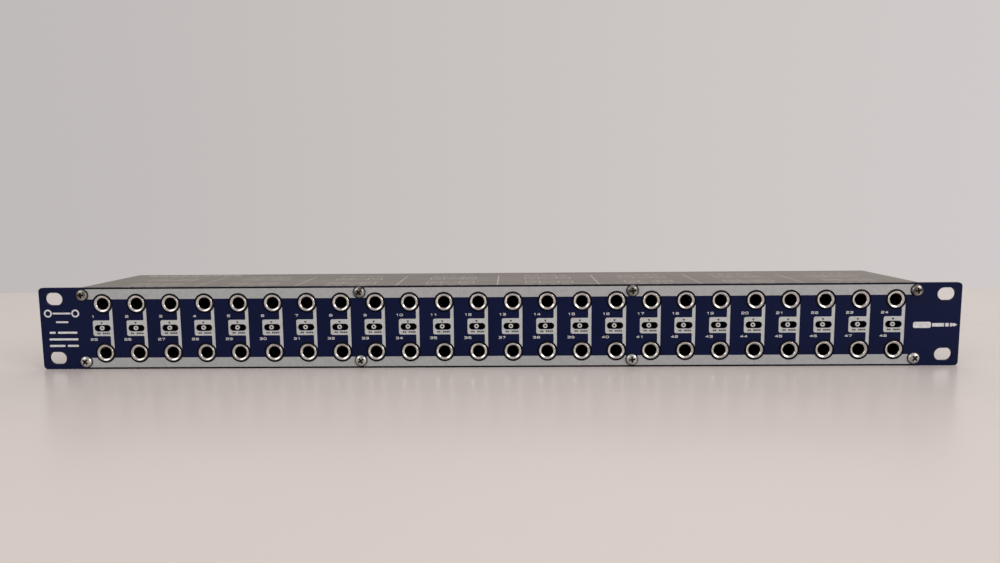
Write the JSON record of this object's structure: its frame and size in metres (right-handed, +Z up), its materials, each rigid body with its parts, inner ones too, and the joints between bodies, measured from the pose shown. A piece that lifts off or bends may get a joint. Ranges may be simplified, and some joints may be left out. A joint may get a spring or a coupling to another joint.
{
  "type": "audio patch bay",
  "caption": "Rack-mount audio patch bay: a flat front panel with two rows of 6.35 mm jack sockets and a slide switch between each pair, on a shallow folded-steel case with rear jacks.",
  "frame": {"origin": "on the plane the underside rests on, at the middle of the object's width and of its depth over the jack noses", "axes": "+Z up, +X along the panel to the viewer's right, -Y out of the front panel"},
  "size_m": [0.4826, 0.0716, 0.0437],
  "materials": {
    "panel_paint": "satin navy blue paint over sheet steel",
    "case_steel": "bare zinc-plated sheet steel, dull grey",
    "rear_paint": "satin dark paint over sheet steel",
    "jack_plastic": "black moulded nylon",
    "jack_nickel": "bright nickel plating on the jack ferrules",
    "panel_print": "pale grey and white screen-printed ink",
    "board_laminate": "green solder mask on glass laminate",
    "switch_plastic": "black moulded plastic",
    "lever_plastic": "off-white moulded plastic, slightly glossy",
    "screw_steel": "bright zinc-plated cross-head screws",
    "spacer_brass": "nickel-washed brass"
  },
  "bodies": {
    "case": {"front_panel": "panel_paint", "chassis_tray": "case_steel", "top_cover": "case_steel", "rear_panel": "rear_paint", "front_jacks_upper_left": "jack_plastic", "front_jacks_upper_right": "jack_plastic", "front_jacks_lower_left": "jack_plastic", "front_jacks_lower_right": "jack_plastic", "rear_jacks_upper_left": "jack_plastic", "rear_jacks_upper_right": "jack_plastic", "rear_jacks_lower_left": "jack_plastic", "rear_jacks_lower_right": "jack_plastic", "upper_board": "board_laminate", "lower_board": "board_laminate", "switch_bank_left": "switch_plastic", "switch_bank_right": "switch_plastic", "board_link_left": "switch_plastic", "board_link_right": "switch_plastic", "board_spacer_left": "spacer_brass", "board_spacer_right": "spacer_brass", "front_screw_top_left": "screw_steel", "front_screw_top_mid_left": "screw_steel", "front_screw_top_mid_right": "screw_steel", "front_screw_top_right": "screw_steel", "front_screw_bottom_left": "screw_steel", "front_screw_bottom_mid_left": "screw_steel", "front_screw_bottom_mid_right": "screw_steel", "front_screw_bottom_right": "screw_steel", "rear_screw_top_left": "screw_steel", "rear_screw_top_right": "screw_steel", "rear_screw_bottom_left": "screw_steel", "rear_screw_bottom_right": "screw_steel", "cover_screw_left_front": "screw_steel", "cover_screw_left_rear": "screw_steel", "cover_screw_right_front": "screw_steel", "cover_screw_right_rear": "screw_steel"},
    "lever_01": {"switch_lever_01": "lever_plastic"},
    "lever_02": {"switch_lever_02": "lever_plastic"},
    "lever_03": {"switch_lever_03": "lever_plastic"},
    "lever_04": {"switch_lever_04": "lever_plastic"},
    "lever_05": {"switch_lever_05": "lever_plastic"},
    "lever_06": {"switch_lever_06": "lever_plastic"},
    "lever_07": {"switch_lever_07": "lever_plastic"},
    "lever_08": {"switch_lever_08": "lever_plastic"},
    "lever_09": {"switch_lever_09": "lever_plastic"},
    "lever_10": {"switch_lever_10": "lever_plastic"},
    "lever_11": {"switch_lever_11": "lever_plastic"},
    "lever_12": {"switch_lever_12": "lever_plastic"},
    "lever_13": {"switch_lever_13": "lever_plastic"},
    "lever_14": {"switch_lever_14": "lever_plastic"},
    "lever_15": {"switch_lever_15": "lever_plastic"},
    "lever_16": {"switch_lever_16": "lever_plastic"},
    "lever_17": {"switch_lever_17": "lever_plastic"},
    "lever_18": {"switch_lever_18": "lever_plastic"},
    "lever_19": {"switch_lever_19": "lever_plastic"},
    "lever_20": {"switch_lever_20": "lever_plastic"},
    "lever_21": {"switch_lever_21": "lever_plastic"},
    "lever_22": {"switch_lever_22": "lever_plastic"},
    "lever_23": {"switch_lever_23": "lever_plastic"},
    "lever_24": {"switch_lever_24": "lever_plastic"}
  },
  "joints": [
    {"name": "switch_01_slide", "type": "slide", "parent": "case", "child": "lever_01", "axis": [1, 0, 0], "range_m": [-0.002, 0.002]},
    {"name": "switch_02_slide", "type": "slide", "parent": "case", "child": "lever_02", "axis": [1, 0, 0], "range_m": [-0.002, 0.002]},
    {"name": "switch_03_slide", "type": "slide", "parent": "case", "child": "lever_03", "axis": [1, 0, 0], "range_m": [-0.002, 0.002]},
    {"name": "switch_04_slide", "type": "slide", "parent": "case", "child": "lever_04", "axis": [1, 0, 0], "range_m": [-0.002, 0.002]},
    {"name": "switch_05_slide", "type": "slide", "parent": "case", "child": "lever_05", "axis": [1, 0, 0], "range_m": [-0.002, 0.002]},
    {"name": "switch_06_slide", "type": "slide", "parent": "case", "child": "lever_06", "axis": [1, 0, 0], "range_m": [-0.002, 0.002]},
    {"name": "switch_07_slide", "type": "slide", "parent": "case", "child": "lever_07", "axis": [1, 0, 0], "range_m": [-0.002, 0.002]},
    {"name": "switch_08_slide", "type": "slide", "parent": "case", "child": "lever_08", "axis": [1, 0, 0], "range_m": [-0.002, 0.002]},
    {"name": "switch_09_slide", "type": "slide", "parent": "case", "child": "lever_09", "axis": [1, 0, 0], "range_m": [-0.002, 0.002]},
    {"name": "switch_10_slide", "type": "slide", "parent": "case", "child": "lever_10", "axis": [1, 0, 0], "range_m": [-0.002, 0.002]},
    {"name": "switch_11_slide", "type": "slide", "parent": "case", "child": "lever_11", "axis": [1, 0, 0], "range_m": [-0.002, 0.002]},
    {"name": "switch_12_slide", "type": "slide", "parent": "case", "child": "lever_12", "axis": [1, 0, 0], "range_m": [-0.002, 0.002]},
    {"name": "switch_13_slide", "type": "slide", "parent": "case", "child": "lever_13", "axis": [1, 0, 0], "range_m": [-0.002, 0.002]},
    {"name": "switch_14_slide", "type": "slide", "parent": "case", "child": "lever_14", "axis": [1, 0, 0], "range_m": [-0.002, 0.002]},
    {"name": "switch_15_slide", "type": "slide", "parent": "case", "child": "lever_15", "axis": [1, 0, 0], "range_m": [-0.002, 0.002]},
    {"name": "switch_16_slide", "type": "slide", "parent": "case", "child": "lever_16", "axis": [1, 0, 0], "range_m": [-0.002, 0.002]},
    {"name": "switch_17_slide", "type": "slide", "parent": "case", "child": "lever_17", "axis": [1, 0, 0], "range_m": [-0.002, 0.002]},
    {"name": "switch_18_slide", "type": "slide", "parent": "case", "child": "lever_18", "axis": [1, 0, 0], "range_m": [-0.002, 0.002]},
    {"name": "switch_19_slide", "type": "slide", "parent": "case", "child": "lever_19", "axis": [1, 0, 0], "range_m": [-0.002, 0.002]},
    {"name": "switch_20_slide", "type": "slide", "parent": "case", "child": "lever_20", "axis": [1, 0, 0], "range_m": [-0.002, 0.002]},
    {"name": "switch_21_slide", "type": "slide", "parent": "case", "child": "lever_21", "axis": [1, 0, 0], "range_m": [-0.002, 0.002]},
    {"name": "switch_22_slide", "type": "slide", "parent": "case", "child": "lever_22", "axis": [1, 0, 0], "range_m": [-0.002, 0.002]},
    {"name": "switch_23_slide", "type": "slide", "parent": "case", "child": "lever_23", "axis": [1, 0, 0], "range_m": [-0.002, 0.002]},
    {"name": "switch_24_slide", "type": "slide", "parent": "case", "child": "lever_24", "axis": [1, 0, 0], "range_m": [-0.002, 0.002]}
  ]
}
